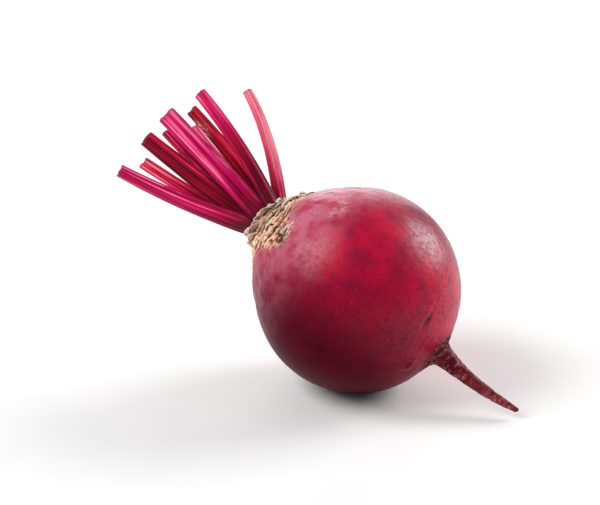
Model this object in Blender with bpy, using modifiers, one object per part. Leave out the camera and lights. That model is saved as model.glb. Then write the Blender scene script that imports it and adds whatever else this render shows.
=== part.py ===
"""A whole beetroot lying on its side, with its corky crown and its cut leaf stalks.

Units are metres and Z is up. Each piece is modelled in its growth frame, where the globe's centre is the
origin and the crown points up. An empty lays that frame down, so that the globe rests on a small flat spot
whose centre is the world's origin.
"""
import math
from collections import namedtuple

import bmesh
import bpy
from mathutils import Euler, Matrix, Vector, noise

MM = 0.001

# How the beetroot lies
GLOBE_RADIUS = 40 * MM
REST_HEIGHT = 39.1 * MM
CROWN_RISE = math.radians(29)
TURN_ABOUT_AXIS = math.radians(33)
SURFACE_BLOCK = 80 * MM

# The turned shape of the root: radius and height in the growth frame, in millimetres
NECK = [(0, 42.2), (8, 42.0), (13.4, 41.4), (15.2, 39.9), (18.4, 37.5), (23.2, 33.9)]
ARC_FROM = math.radians(48)
ARC_TO = math.radians(156)
ARC_RINGS = 15
TAP_ROOT = [
    (12.2, -38.0), (8.6, -39.3), (6.1, -40.2), (4.8, -41.5), (4.1, -43.4), (3.6, -46.2), (3.15, -49.5),
    (2.75, -53), (2.45, -57), (2.2, -62), (1.9, -67), (1.55, -71), (1.2, -74.5), (0.85, -76.6), (0, -77.1),
]
ROOT_SEGMENTS = 44

SMOOTH_ANGLE = math.radians(50)

# Low lobes under the crown, as waves of count, share and phase, and the bow of the tap root
LOBE_HEIGHT = 0.35 * MM
LOBE_LIFT = 0.4
LOBE_WAVES = [(5, 1.0, 0.0), (3, 0.6, 0.2)]
LOBES_BEGIN = (-10 * MM, 25 * MM)
LOBES_END = (41 * MM, 36 * MM)
BOW_START = -36 * MM
BOW_FULL = -43 * MM
BOW_MIDDLE = -58 * MM
BOW_CURVE = 4.4
BOW_SLOPE = -0.027

# The crown sits in a shallow seat in the neck
CLEARANCE = 0.3 * MM
SEAT_RADIUS = 13.2 * MM
SEAT_FLOOR = 37.6 * MM
SEAT_CUT_DEPTH = 10 * MM
CROWN_PROFILE = [
    (0, 44.6), (4.5, 44.5), (8.3, 44.9), (9.3, 46.3), (10.0, 47.0), (10.8, 46.4), (10.5, 45.5),
    (11.5, 44.8), (11.3, 43.9), (12.4, 43.2), (12.2, 42.4), (13.0, 41.7),
]
CROWN_SHOULDER = 41.2
CROWN_SEGMENTS = 36
CROWN_TILT = 0.2
TILT_FROM = 41.7 * MM
TILT_TO = 46 * MM
RAGGED_EDGE = 0.5 * MM
RAGGED_WAVES = 3.2
ANOTHER_PLACE = Vector((7, 3, 0))
SLIVER = 0.03 * MM

# Dried leaf bases that stand round the crown, and stumps of stalks that fell off
SCALE_COUNT = 11
SCALE_THICKNESS = 0.8 * MM
SCALE_WIDTH = 7.0 * MM
SCALE_HEIGHT = 3.0 * MM
SCALE_ROW_RADII = (9.6 * MM, 11.0 * MM)
SCALE_ROW_FEET = (45.0 * MM, 43.0 * MM)
SCALE_SINK = 1.2 * MM
SCALE_FLARE = 0.28
SCALE_NARROWING = 0.45
SCALE_ROUNDING = 1.4
SCALE_ROOT_DEPTH = 3.2 * MM
SCALE_SCATTER = (0.5, 0.35, 0.6)
SCALE_STEP = 1.7
STUMPS = [(7.4, -2.9, 1.9), (5.6, 6.9, 1.6), (-7.6, 0.4, 1.5)]
STUMP_HEIGHT = 2.6 * MM
STUMP_SINK = 1.5 * MM
STUMP_SIDES = 9
STUMP_TAPER = 0.7

# Leaf stalks: millimetres and degrees, in the growth frame. A bow is how far the middle stands off a
# straight line, and a face is the way that the stalk's rounded back looks.
STALK_SOCKET = 2.4 * MM
STALK_SIDES = 18
STALK_RINGS = 10
WIDTH_CURVE = 1.5
FOOT_NARROWING = 0.66
FOOT_END = 0.14
CHANNEL_DEPTH = 0.3
CHANNEL_WIDTH = 0.45
CHANNEL_FULL = 0.3
RIB_COUNT = 9
RIB_HEIGHT = 0.035
Stalk = namedtuple("Stalk", "foot tip bow base_width tip_width thickness face")
STALKS = [
    Stalk((-5.1, -5.2), (-21.7, -10.0, 102.5), (-1.3, 2.3), 8.1, 5.7, 3.5, -127),
    Stalk((-5.7, 4.3), (-13.7, 7.2, 103.2), (-0.7, -0.1), 5.3, 5.3, 3.4, 111),
    Stalk((-3.9, 0.9), (-5.3, -3.2, 104.8), (-0.5, -0.1), 8.1, 6.5, 3.4, -90),
    Stalk((-2.8, 6.9), (2.3, 13.4, 106.1), (-1.1, -0.1), 5.4, 5.2, 3.4, 102),
    Stalk((-1.6, -2.5), (6.9, -11.6, 101.3), (0.4, -0.4), 7.5, 7.5, 3.6, -94),
    Stalk((0.4, 1.8), (9.8, 3.9, 94.8), (-0.6, 0.0), 4.4, 3.6, 2.9, 83),
    Stalk((1.2, 5.6), (15.1, 8.7, 101.6), (1.4, 0.2), 6.3, 5.1, 3.3, 76),
    Stalk((2.8, -3.7), (21.9, -8.0, 97.2), (2.0, -1.0), 5.7, 5.1, 3.5, -82),
    Stalk((3.4, 0.2), (34.8, 5.9, 87.2), (3.3, 1.3), 5.6, 3.8, 3.3, -71),
]


def clear_scene():
    for item in list(bpy.data.objects):
        bpy.data.objects.remove(item)


def new_collection(name):
    collection = bpy.data.collections.new(name)
    bpy.context.scene.collection.children.link(collection)
    return collection


def new_material(name, colour, roughness):
    """A Principled material in the part's own colour."""
    material = bpy.data.materials.new(name)
    material.use_nodes = True
    shader = material.node_tree.nodes["Principled BSDF"]
    shader.inputs["Base Color"].default_value = (*colour, 1)
    shader.inputs["Roughness"].default_value = roughness
    shader.inputs["Metallic"].default_value = 0
    material.diffuse_color = (*colour, 1)
    return material


def new_object(name, mesh, collection, parent=None):
    item = bpy.data.objects.new(name, mesh)
    collection.objects.link(item)
    item.parent = parent
    return item


def mesh_from(shape, name):
    """Turns a bmesh into a smooth-shaded mesh of outward triangles, which are flat and so cut cleanly."""
    bmesh.ops.recalc_face_normals(shape, faces=shape.faces)
    bmesh.ops.triangulate(shape, faces=shape.faces)
    mesh = bpy.data.meshes.new(name)
    shape.to_mesh(mesh)
    shape.free()
    mesh.shade_smooth()
    return mesh


def apply_modifiers(item):
    """Replaces an object's mesh by the mesh that its modifiers give."""
    graph = bpy.context.evaluated_depsgraph_get()
    mesh = bpy.data.meshes.new_from_object(item.evaluated_get(graph))
    item.modifiers.clear()
    item.data = mesh


def smooth_ramp(value, start, end):
    """Rises smoothly from 0 at start to 1 at end."""
    part = min(max((value - start) / (end - start), 0), 1)
    return part * part * (3 - 2 * part)


def turned(name, profile, segments, collection, parent):
    """A solid of revolution: a profile at +X, from top to bottom, with a Screw modifier."""
    shape = bmesh.new()
    points = [shape.verts.new((radius * MM, 0, height * MM)) for radius, height in profile]
    for upper, lower in zip(points, points[1:]):
        shape.edges.new((upper, lower))
    mesh = bpy.data.meshes.new(name)
    shape.to_mesh(mesh)
    shape.free()
    item = new_object(name, mesh, collection, parent)
    screw = item.modifiers.new("turn", "SCREW")
    screw.steps = segments
    screw.render_steps = segments
    screw.use_merge_vertices = True
    screw.merge_threshold = 0.01 * MM
    apply_modifiers(item)
    return item


def move_points(item, rule):
    """Moves every point of a mesh by a rule, and splits its bent faces into smooth-shaded triangles."""
    shape = bmesh.new()
    shape.from_mesh(item.data)
    for vertex in shape.verts:
        vertex.co = rule(vertex.co.copy())
    item.data = mesh_from(shape, item.name)
    item.data.set_sharp_from_angle(angle=SMOOTH_ANGLE)


def boolean(item, operation, cutter=None, collection=None):
    """Adds a Boolean against one cutter, or against all the shapes in a collection."""
    modifier = item.modifiers.new(operation.lower(), "BOOLEAN")
    modifier.operation = operation
    if collection:
        modifier.operand_type = "COLLECTION"
        modifier.collection = collection
    else:
        modifier.object = cutter
    return modifier


def as_cutter(item):
    item.hide_render = True
    item.display_type = "WIRE"
    return item


def root_profile():
    """Neck, globe and tap root, from top to bottom."""
    step = (ARC_TO - ARC_FROM) / (ARC_RINGS - 1)
    angles = [ARC_FROM + step * ring for ring in range(ARC_RINGS)]
    radius = GLOBE_RADIUS / MM
    globe = [(radius * math.sin(angle), radius * math.cos(angle)) for angle in angles]
    return NECK + globe + TAP_ROOT


def grown_root(point):
    """Low lobes on the shoulder, and a tap root that bows a little."""
    around = math.atan2(point.y, point.x)
    shoulder = smooth_ramp(point.z, *LOBES_BEGIN) * smooth_ramp(point.z, *LOBES_END)
    lobes = sum(share * math.sin(count * around + phase) for count, share, phase in LOBE_WAVES)
    outward = Vector((math.cos(around), math.sin(around), LOBE_LIFT))
    point += outward * (LOBE_HEIGHT * shoulder * lobes)
    below = point.z - BOW_MIDDLE
    bow = BOW_CURVE * below * below + BOW_SLOPE * below
    point.x += bow * smooth_ramp(point.z, BOW_START, BOW_FULL)
    return point


def build_root(collection, cutters, frame):
    """The globe with its neck and tap root, cut flat where it rests and recessed under the crown."""
    root = turned("swollen_root", root_profile(), ROOT_SEGMENTS, collection, frame)
    move_points(root, grown_root)
    bpy.ops.mesh.primitive_cube_add(size=SURFACE_BLOCK, location=(0, 0, -SURFACE_BLOCK / 2))
    surface = as_cutter(bpy.context.object)
    surface.name = "resting_surface"
    move_to(surface, cutters)
    boolean(root, "DIFFERENCE", surface)
    bpy.ops.mesh.primitive_cylinder_add(
        vertices=CROWN_SEGMENTS, radius=SEAT_RADIUS + CLEARANCE, depth=SEAT_CUT_DEPTH)
    seat = as_cutter(bpy.context.object)
    seat.name = "crown_seat"
    seat.location.z = SEAT_FLOOR + SEAT_CUT_DEPTH / 2
    seat.parent = frame
    move_to(seat, cutters)
    boolean(root, "DIFFERENCE", seat)
    return root


def move_to(item, collection):
    """Takes an object out of its collections and puts it in another."""
    for old in list(item.users_collection):
        old.objects.unlink(item)
    collection.objects.link(item)


def tilted(point):
    """The top of the crown slopes down towards +X."""
    point.z -= CROWN_TILT * point.x * smooth_ramp(point.z, TILT_FROM, TILT_TO)
    return point


def ragged(point):
    """Rings of old leaf scars, whose edges waver round the crown."""
    radius = math.hypot(point.x, point.y)
    height = smooth_ramp(point.z, TILT_FROM, TILT_TO)
    if radius > 0 and height > 0:
        across = Vector((point.x, point.y, 0)) / radius
        place = Vector((across.x, across.y, 0)) * RAGGED_WAVES + Vector((0, 0, point.z / MM))
        point += across * (RAGGED_EDGE * height * noise.noise(place))
        point.z += RAGGED_EDGE * height * noise.noise(place + ANOTHER_PLACE)
    return tilted(point)


def keep_one_body(item):
    """Fills the small hollows that fusing sealed, and drops slivers and loose scraps."""
    shape = bmesh.new()
    shape.from_mesh(item.data)
    bmesh.ops.triangulate(shape, faces=shape.faces)
    bmesh.ops.dissolve_degenerate(shape, edges=shape.edges, dist=SLIVER)
    left = set(shape.verts)
    shells = []
    while left:
        reached = [left.pop()]
        for vertex in reached:
            near = {edge.other_vert(vertex) for edge in vertex.link_edges} & left
            left -= near
            reached.extend(near)
        shells.append(reached)
    shells.sort(key=len)
    scraps = [vertex for shell in shells[:-1] for vertex in shell]
    bmesh.ops.delete(shape, geom=scraps, context="VERTS")
    shape.to_mesh(item.data)
    shape.free()


def leaf_scale(number, row, collection, frame):
    """One dried leaf base: a rounded blade bent round the crown, deep at its foot and thin at its edge."""
    scatter = noise.noise_vector(Vector((SCALE_STEP * number, row, 0)))
    turn, spread, growth = (share * value for share, value in zip(SCALE_SCATTER, scatter))
    azimuth = 2 * math.pi * (number + row / 2) / SCALE_COUNT + turn
    width = SCALE_WIDTH * (1 + spread)
    height = SCALE_HEIGHT * (1 + growth)
    foot = SCALE_ROW_FEET[row] - SCALE_SINK
    shape = bmesh.new()
    bmesh.ops.create_cube(shape, size=1)
    across = [edge for edge in shape.edges if abs(edge.verts[0].co.x - edge.verts[1].co.x) > 0.5]
    bmesh.ops.subdivide_edges(shape, edges=across, cuts=2, use_grid_fill=True)
    upright = [edge for edge in shape.edges if abs(edge.verts[0].co.z - edge.verts[1].co.z) > 0.5]
    bmesh.ops.subdivide_edges(shape, edges=upright, cuts=1, use_grid_fill=True)
    for vertex in shape.verts:
        side, depth, rise = vertex.co.x, vertex.co.y, vertex.co.z + 0.5
        narrow = 1 - SCALE_NARROWING * rise
        top = height * rise * (1 - SCALE_ROUNDING * side * side)
        inside = (SCALE_ROOT_DEPTH * (1 - rise) + SCALE_THICKNESS) * (depth < 0)
        radius = SCALE_ROW_RADII[row] + SCALE_FLARE * top - inside
        angle = azimuth + side * narrow * width / radius
        place = Vector((radius * math.cos(angle), radius * math.sin(angle), foot + top))
        vertex.co = tilted(place)
    return new_object("leaf_scale", mesh_from(shape, "leaf_scale"), collection, frame)


def stump(place, collection, frame):
    """A short peeled stub that an old stalk left behind."""
    x, y, radius = place
    shape = bmesh.new()
    bmesh.ops.create_cone(
        shape, cap_ends=True, segments=STUMP_SIDES, depth=STUMP_HEIGHT + STUMP_SINK,
        radius1=radius * MM, radius2=STUMP_TAPER * radius * MM)
    middle = crown_floor(x * MM) + (STUMP_HEIGHT - STUMP_SINK) / 2
    bmesh.ops.translate(shape, verts=shape.verts, vec=(x * MM, y * MM, middle))
    return new_object("stump", mesh_from(shape, "stump"), collection, frame)


def crown_floor(x):
    """Height of the crown's dished top at a place across its slope."""
    return CROWN_PROFILE[0][1] * MM - CROWN_TILT * x


def build_crown(collection, cutters, frame):
    """The corky knob, its scales and stumps in one solid, with a socket for each stalk."""
    side = SEAT_RADIUS / MM
    bottom = (SEAT_FLOOR + CLEARANCE) / MM
    profile = CROWN_PROFILE + [(side, CROWN_SHOULDER), (side, bottom), (0, bottom)]
    crown = turned("crown", profile, CROWN_SEGMENTS, collection, frame)
    move_points(crown, ragged)
    growth = new_collection("crown growth")
    for row in range(len(SCALE_ROW_RADII)):
        for number in range(SCALE_COUNT):
            leaf_scale(number, row, growth, frame)
    for place in STUMPS:
        stump(place, growth, frame)
    boolean(crown, "UNION", collection=growth)
    apply_modifiers(crown)
    for item in list(growth.objects):
        bpy.data.objects.remove(item)
    bpy.data.collections.remove(growth)
    for number, stalk in enumerate(STALKS, 1):
        socket = stalk_mesh(stalk, CLEARANCE)
        cutter = as_cutter(new_object(f"socket_{number}", socket, cutters, frame))
        boolean(crown, "DIFFERENCE", cutter)
    apply_modifiers(crown)
    keep_one_body(crown)
    return crown


def stalk_path(stalk, part):
    """Point and direction of a stalk's middle line, from its foot at 0 to its cut end at 1."""
    foot = Vector((*stalk.foot, 0)) * MM
    foot.z = crown_floor(foot.x) - STALK_SOCKET
    tip = Vector(stalk.tip) * MM
    bend = (foot + tip) / 2 + Vector((*stalk.bow, 0)) * (2 * MM)
    point = foot.lerp(bend, part).lerp(bend.lerp(tip, part), part)
    direction = (bend - foot).lerp(tip - bend, part).normalized()
    return point, direction


def stalk_section(stalk, angle, part, grow):
    """Outward and sideways reach of a stalk's section: ribbed outside, channelled inside."""
    full = stalk.base_width + (stalk.tip_width - stalk.base_width) * part ** WIDTH_CURVE
    width = full * MM * (1 - (1 - FOOT_NARROWING) * smooth_ramp(part, FOOT_END, 0))
    rib = 1 + RIB_HEIGHT * math.cos(RIB_COUNT * angle)
    outward = stalk.thickness * MM / 2 * math.cos(angle) * rib
    sideways = width / 2 * math.sin(angle) * rib
    if math.cos(angle) < 0:
        inward = math.exp(-(math.sin(angle) / CHANNEL_WIDTH) ** 2)
        outward += CHANNEL_DEPTH * stalk.thickness * MM * inward * smooth_ramp(part, 0, CHANNEL_FULL)
    return outward + grow * math.cos(angle), sideways + grow * math.sin(angle)


def stalk_mesh(stalk, grow=0.0):
    """A stalk from a plain cylinder: its rings follow the path, and its sides follow the section."""
    shape = bmesh.new()
    bmesh.ops.create_cone(
        shape, cap_ends=True, segments=STALK_SIDES, radius1=1, radius2=1, depth=1,
        matrix=Matrix.Translation((0, 0, 0.5)))
    upright = [edge for edge in shape.edges if abs(edge.verts[0].co.z - edge.verts[1].co.z) > 0.5]
    bmesh.ops.subdivide_edges(shape, edges=upright, cuts=STALK_RINGS - 1)
    face = math.radians(stalk.face)
    facing = Vector((math.cos(face), math.sin(face), 0))
    for vertex in shape.verts:
        part = vertex.co.z
        angle = math.atan2(vertex.co.y, vertex.co.x)
        middle, direction = stalk_path(stalk, part)
        outward = (facing - facing.dot(direction) * direction).normalized()
        sideways = direction.cross(outward)
        reach, side = stalk_section(stalk, angle, part, grow)
        vertex.co = middle + outward * reach + sideways * side - direction * grow * (part == 0)
    return mesh_from(shape, "leaf_stalk")


def build_stalks(collection, frame):
    stalks = []
    for number, stalk in enumerate(STALKS, 1):
        item = new_object(f"leaf_stalk_{number}", stalk_mesh(stalk), collection, frame)
        item.data.set_sharp_from_angle(angle=SMOOTH_ANGLE)
        stalks.append(item)
    return stalks


def growth_frame(collection):
    """The empty that lays the growth frame down: turned about the root's axis, then tipped over."""
    frame = bpy.data.objects.new("growth_frame", None)
    frame.rotation_mode = "ZYX"
    frame.rotation_euler = Euler((0, CROWN_RISE - math.pi / 2, TURN_ABOUT_AXIS), "ZYX")
    frame.location.z = REST_HEIGHT
    collection.objects.link(frame)
    return frame


def main():
    clear_scene()
    parts = new_collection("beetroot")
    cutters = new_collection("cutters")
    frame = growth_frame(parts)
    skin = new_material("root_skin", (0.26, 0.012, 0.045), 0.45)
    bark = new_material("crown_bark", (0.55, 0.40, 0.26), 0.85)
    flesh = new_material("leaf_stalk", (0.42, 0.004, 0.09), 0.4)
    build_root(parts, cutters, frame).data.materials.append(skin)
    build_crown(parts, cutters, frame).data.materials.append(bark)
    for stalk in build_stalks(parts, frame):
        stalk.data.materials.append(flesh)


main()
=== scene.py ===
# %% [markdown]
# # A whole beetroot
# This lesson dresses a packed part. The part gives solids that stay where they are, and each piece made here
# takes the place of one of them: the skin of the root, the corky crown, and nine cut leaf stalks. The aim is
# a beetroot that holds up from every side, so the ribs, flakes and wrinkles are real shape, and the nodes of
# each material only add what is finer than that.

import math
import random

import bmesh
import bpy
from mathutils import Matrix, Vector, noise


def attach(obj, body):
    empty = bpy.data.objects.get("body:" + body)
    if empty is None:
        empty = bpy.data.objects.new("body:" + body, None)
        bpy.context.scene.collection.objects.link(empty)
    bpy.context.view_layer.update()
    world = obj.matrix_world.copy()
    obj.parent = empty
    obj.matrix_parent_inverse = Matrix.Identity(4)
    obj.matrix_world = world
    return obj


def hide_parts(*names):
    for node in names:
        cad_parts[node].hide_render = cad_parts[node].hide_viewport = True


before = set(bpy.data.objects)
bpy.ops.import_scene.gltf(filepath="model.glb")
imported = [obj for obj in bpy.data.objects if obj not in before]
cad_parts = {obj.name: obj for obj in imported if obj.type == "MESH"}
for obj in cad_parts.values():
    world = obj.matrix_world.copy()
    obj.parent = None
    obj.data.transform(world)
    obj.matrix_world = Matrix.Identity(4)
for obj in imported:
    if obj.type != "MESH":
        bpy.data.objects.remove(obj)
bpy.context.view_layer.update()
print("the part has", len(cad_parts), "nodes")

# %% [markdown]
# ## How a beetroot grows, and how this one lies
# A root is round about its own axis, so it is far easier to shape standing upright, with the globe's centre
# at zero and the crown on top. It could be modelled lying down, but then none of its rings would be level.
# One matrix lays each finished piece down instead: it makes millimetres into metres, turns the piece about
# its axis, tips it over, and lifts it so that the globe rests on the table.

# %% The growing place and the resting place
MM = 0.001
REST_HEIGHT = 39.1
TIPPED_OVER = math.radians(-61)
TURNED = math.radians(33)
LAID_DOWN = (
    Matrix.Translation((0, 0, REST_HEIGHT * MM))
    @ Matrix.Rotation(TIPPED_OVER, 4, "Y")
    @ Matrix.Rotation(TURNED, 4, "Z")
    @ Matrix.Scale(MM, 4)
)
print("the crown's middle lies at", [round(v, 4) for v in LAID_DOWN @ Vector((0, 0, 45))])

# %% [markdown]
# ## Small helpers for shape
# Most of the shapes need a value that rises smoothly between two limits, a bump round a place, a smooth curve
# through a few points, and noise. Blender's own noise is used for the lumps, because it is the same on each
# run. Writing these once keeps each piece short.

# %% Ramps, bumps and curves
def smooth_ramp(value, start, end):
    """Rises smoothly from 0 at start to 1 at end."""
    part = min(max((value - start) / (end - start), 0), 1)
    return part * part * (3 - 2 * part)


def bump(value, middle, spread):
    """A bell that is 1 at its middle and fades over its spread."""
    return math.exp(-(((value - middle) / spread) ** 2))


def curve_through(points, spacing):
    """Points on a smooth curve through the given ones, about as far apart as the spacing."""
    padded = [points[0], *points, points[-1]]
    curve = []
    for before, start, end, after in zip(padded, padded[1:], padded[2:], padded[3:]):
        count = max(round(math.dist(start, end) / spacing), 1)
        for step in range(count):
            t = step / count
            weights = (
                (-t + 2 * t ** 2 - t ** 3) / 2,
                (2 - 5 * t ** 2 + 3 * t ** 3) / 2,
                (t + 4 * t ** 2 - 3 * t ** 3) / 2,
                (-t ** 2 + t ** 3) / 2,
            )
            near = (before, start, end, after)
            curve.append(tuple(sum(w * p[axis] for w, p in zip(weights, near)) for axis in (0, 1)))
    curve.append(points[-1])
    return curve


def on_ring(around, radius, level):
    """A place on a ring round the axis, where noise is read so that it is drawn out round or down a piece."""
    return radius * math.cos(around), radius * math.sin(around), level


FADE = 0.9
FINER = 2.0


def rough(point, size, octaves=1):
    """Noise from about -1 to 1 with lumps as wide as the size, in millimetres. Each octave is twice as fine."""
    return noise.fractal(Vector(point) / size, FADE, FINER, octaves)


print("a curve through three points has", len(curve_through([(0, 0), (5, 1), (10, 0)], 0.5)), "points")

# %% [markdown]
# ## Spinning a line into a closed shape
# The root and the core of the crown are both round, so each starts as a line of radii and heights that is
# spun about the axis. Points that fall together on the axis are merged, and a ring that is left open is
# closed, so that the shape has no holes.

# %% A closed shape from a line
MERGED_WITHIN = 0.0005


def spun(points, steps):
    """A closed shape spun about the axis from a line of radii and heights."""
    shape = bmesh.new()
    ends = [shape.verts.new((radius, 0, height)) for radius, height in points]
    line = [shape.edges.new(pair) for pair in zip(ends, ends[1:])]
    bmesh.ops.spin(
        shape, geom=ends + line, cent=(0, 0, 0), axis=(0, 0, 1), angle=2 * math.pi, steps=steps,
        use_merge=True)
    bmesh.ops.remove_doubles(shape, verts=shape.verts, dist=MERGED_WITHIN)
    bmesh.ops.holes_fill(shape, edges=[edge for edge in shape.edges if edge.is_boundary])
    bmesh.ops.recalc_face_normals(shape, faces=shape.faces)
    return shape


cone = spun([(0, 1), (1, 0)], 12)
print("a sloping line spun in 12 steps gives a cone with", len(cone.faces), "faces, its base included")
cone.free()

# %% [markdown]
# ## Finishing a piece
# Every piece ends in the same way. Its mesh is laid down, its faces are turned outwards, it is shaded smooth,
# it is given its finish, it rides on the root, and the solid that it stands for is hidden. The object itself
# stays at the origin, unturned, so that the patterns of its material stay where they are.

# %% From a bmesh to a piece
def finished_piece(shape, name, material, node):
    """Lays a shape down, makes it an object that rides on the root, and lets it replace its solid."""
    bmesh.ops.transform(shape, matrix=LAID_DOWN, verts=shape.verts)
    bmesh.ops.recalc_face_normals(shape, faces=shape.faces)
    mesh = bpy.data.meshes.new(name)
    shape.to_mesh(mesh)
    shape.free()
    mesh.shade_smooth()
    mesh.materials.append(material)
    piece = bpy.data.objects.new(name, mesh)
    bpy.context.scene.collection.objects.link(piece)
    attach(piece, "root")
    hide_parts(node)
    print(name, "has", sum(len(face.vertices) - 2 for face in mesh.polygons), "triangles")


print("each piece is laid down by", round(math.degrees(-TIPPED_OVER)), "degrees")

# %% [markdown]
# ## Sums on sockets
# A material is easier to read as a sum than as a drawing of nodes. This class wraps a socket, so that plus,
# minus and times add Math nodes by themselves, and one method makes every other node.

# %% A socket that can be reckoned with
class Reading:
    """A value, colour or vector that comes out of a node."""

    def __init__(self, finish, socket):
        self.finish = finish
        self.socket = socket

    def sum(self, operation, *others):
        sockets = dict(enumerate((self, *others)))
        return self.finish.node("ShaderNodeMath", {"operation": operation}, sockets)

    def __add__(self, other):
        return self.sum("ADD", other)

    def __sub__(self, other):
        return self.sum("SUBTRACT", other)

    def __rsub__(self, other):
        return self.finish.node("ShaderNodeMath", {"operation": "SUBTRACT"}, {0: other, 1: self})

    def __mul__(self, other):
        return self.sum("MULTIPLY", other)

    __radd__ = __add__
    __rmul__ = __mul__

    def between(self, low, high):
        """0 below low, 1 above high, and smooth between them."""
        settings = {"interpolation_type": "SMOOTHSTEP"}
        sockets = {"Value": self, "From Min": low, "From Max": high}
        return self.finish.node("ShaderNodeMapRange", settings, sockets)


class Finish:
    """One material with its main shader, and the nodes that its sums ask for."""

    def __init__(self, name, **constants):
        self.material = bpy.data.materials.new(name)
        self.material.use_nodes = True
        self.tree = self.material.node_tree
        self.shader = self.tree.nodes["Principled BSDF"]
        for socket, value in constants.items():
            self.set(socket.replace("_", " "), value)

    def join(self, socket, value):
        if isinstance(value, Reading):
            self.tree.links.new(value.socket, socket)
        elif isinstance(value, tuple) and len(value) == 3 and socket.type == "RGBA":
            socket.default_value = (*value, 1)
        else:
            socket.default_value = value

    def set(self, socket, value):
        self.join(self.shader.inputs[socket], value)

    def node(self, kind, settings, sockets, output=0):
        """Makes a node of a kind, with its settings first and then its sockets, and reads one output."""
        made = self.tree.nodes.new(kind)
        for name, value in settings.items():
            if name == "stops":
                self.colour_stops(made.color_ramp, value)
            else:
                setattr(made, name, value)
        for key, value in sockets.items():
            self.join(made.inputs[key], value)
        return Reading(self, made.outputs[output])

    def colour_stops(self, ramp, stops):
        while len(ramp.elements) < len(stops):
            ramp.elements.new(1)
        for element, (place, colour) in zip(ramp.elements, stops):
            element.position = place
            element.color = (*colour, 1)

    def mixed(self, amount, first, second):
        """The first colour, with an amount of the second from 0 to 1."""
        return self.node("ShaderNodeMix", {"data_type": "RGBA"}, {0: amount, 6: first, 7: second}, output=2)

    def attribute(self, name):
        """A number that was kept on the points of the piece."""
        return self.node("ShaderNodeAttribute", {"attribute_name": name}, {}, output=2)

    def place(self):
        """Places in millimetres along the grown root's own axes."""
        here = self.node("ShaderNodeTexCoord", {}, {}, output=3)
        upright = LAID_DOWN.inverted()
        turn = upright.to_3x3().normalized().to_euler("XYZ")
        sockets = {
            "Vector": here, "Rotation": turn, "Location": upright.translation, "Scale": (1000, 1000, 1000)}
        return self.node("ShaderNodeMapping", {"vector_type": "POINT"}, sockets)

    def noise(self, size, detail=3.0, roughness=0.55, stretch=(1, 1, 1), place=None):
        """Soft lumps, from 0 to 1, as wide as the size in millimetres. A small stretch draws them out."""
        if place is None:
            place = self.place()
        place = self.node("ShaderNodeVectorMath", {"operation": "MULTIPLY"}, {0: place, 1: stretch})
        sockets = {"Vector": place, "Scale": 1 / size, "Detail": detail, "Roughness": roughness}
        return self.node("ShaderNodeTexNoise", {}, sockets)

    def cells(self, size):
        """Distance from the middle of cells as wide as the size in millimetres."""
        return self.node("ShaderNodeTexVoronoi", {}, {"Vector": self.place(), "Scale": 1 / size})

    def raise_by(self, height, distance):
        """Bumps the surface by a height from 0 to 1, as deep as the distance in metres."""
        sockets = {"Height": height, "Distance": distance, "Strength": 1.0}
        self.set("Normal", self.node("ShaderNodeBump", {}, sockets))


print("a material has", len([name for name in vars(Finish) if not name.startswith("_")]), "kinds of step")

# %% [markdown]
# ## The skin of the swollen root
# A beetroot's skin is one closed surface, from under the crown, round the globe and down to the tap root's
# tip. It could be sculpted from a ball, but a profile that is spun about the axis puts its rings just where a
# root has its own rings and wrinkles. The profile follows the solid's. The rings lie closer together on the
# thin tap root, where the wrinkles are finer.

# %% The profile of the root
GLOBE_RADIUS = 40.0
GLOBE_DEGREES = range(48, 157, 9)
NECK = [(6.0, 38.6), (12.2, 39.2), (13.6, 41.2), (15.2, 39.9), (18.4, 37.5), (23.2, 33.9)]
GLOBE = [
    (GLOBE_RADIUS * math.sin(math.radians(turn)), GLOBE_RADIUS * math.cos(math.radians(turn)))
    for turn in GLOBE_DEGREES]
TAP_ROOT = [
    (12.2, -38.0), (8.6, -39.3), (6.1, -40.2), (4.8, -41.5), (4.1, -43.4), (3.6, -46.2), (3.15, -49.5),
    (2.75, -53), (2.45, -57), (2.2, -62), (1.9, -67), (1.55, -71), (1.2, -74.5), (0.85, -76.6), (0.0, -77.1),
]
SKIN_STEPS = 320
GLOBE_RING_GAP = 0.62
TAP_RING_GAP = 0.42

profile = curve_through(NECK + GLOBE, GLOBE_RING_GAP)[:-1]
profile += curve_through([GLOBE[-1]] + TAP_ROOT, TAP_RING_GAP)
skin_shape = spun(profile, SKIN_STEPS)
still_open = sum(edge.is_boundary for edge in skin_shape.edges)
print("the skin has", len(skin_shape.verts), "points and", still_open, "open edges")

# %% [markdown]
# ## What the skin has lived through
# No two sides of a root are alike. It has low lobes under the crown, folds that run down from it, faint dents
# where it pressed on the soil, one long crease, one ringed pit and one leaf scar, a few pale scars, and
# cracked bark where the tap root leaves. Each could be a bump in the material alone, but real relief also
# shows on the outline. So each is a bump round a place on the root, and how strong it is there is kept as a
# number on the points, so that the material can colour it later.

# %% Places on the root
CREASE = (Vector((11.7, -21.6, -31.4)), Vector((4.0, -22.4, -32.8)))
PIT = Vector((-9.9, -14.5, -35.8))
TAP_CRACK = -66.0
LEAF_SCAR = (Vector((0.7, -26.7, 29.8)), Vector((-3.4, -27.8, 28.6)))
PALE_SCARS = [
    (Vector((18.9, -30.9, 17.3)), 2.6), (Vector((15.8, -31.6, 18.6)), 1.9),
    (Vector((22.4, -27.2, 19.0)), 2.2), (Vector((-30.0, 21.0, 14.0)), 2.4),
    (Vector((25.0, 27.0, 13.0)), 2.8), (Vector((-24.0, 26.0, -17.0)), 1.8),
]
CORK_RADIUS = 19.6
CORK_TONGUES = [(-1.64, 9.5, 0.33), (-1.05, 2.2, 0.35), (2.2, 4.0, 0.35)]


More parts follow.
